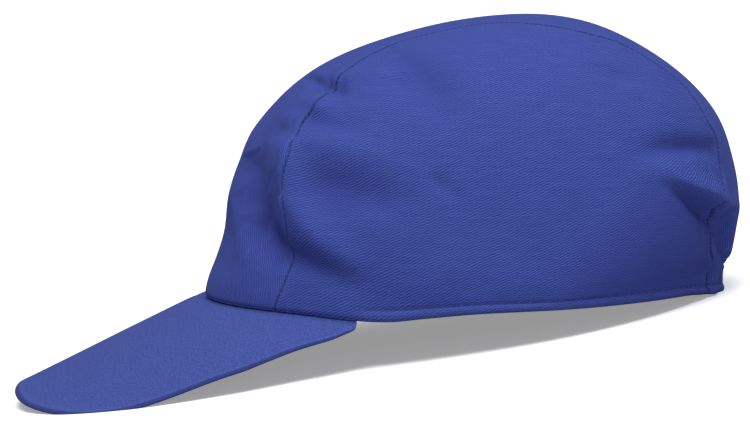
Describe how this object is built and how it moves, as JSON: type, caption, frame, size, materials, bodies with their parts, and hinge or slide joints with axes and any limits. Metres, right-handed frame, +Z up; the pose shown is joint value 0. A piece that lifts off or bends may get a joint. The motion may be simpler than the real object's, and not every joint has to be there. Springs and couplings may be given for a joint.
{
  "type": "three-panel sport cap",
  "caption": "Soft close-fitting sport cap of cotton twill with a centre panel over the top, a panel each side, a turned-up hem and a stiff curved peak, lying on a table.",
  "frame": {"origin": "centre of the bounding box's footprint, on the table the cap lies on", "axes": "+Z up; +X to the wearer's left; the peak points to -Y and the back of the cap to +Y. The cap is tipped back 9.3 degrees from how it is worn, as it comes to rest on a table."},
  "size_m": [0.1632, 0.2828, 0.1163],
  "materials": {
    "twill_cloth": "woven cotton twill, blue",
    "peak_cloth": "smooth close-woven cotton cover, blue"
  },
  "bodies": {
    "root": {"centre_panel": "twill_cloth", "side_panel_left": "twill_cloth", "side_panel_right": "twill_cloth", "rim_hem": "twill_cloth", "peak": "peak_cloth"}
  },
  "joints": []
}
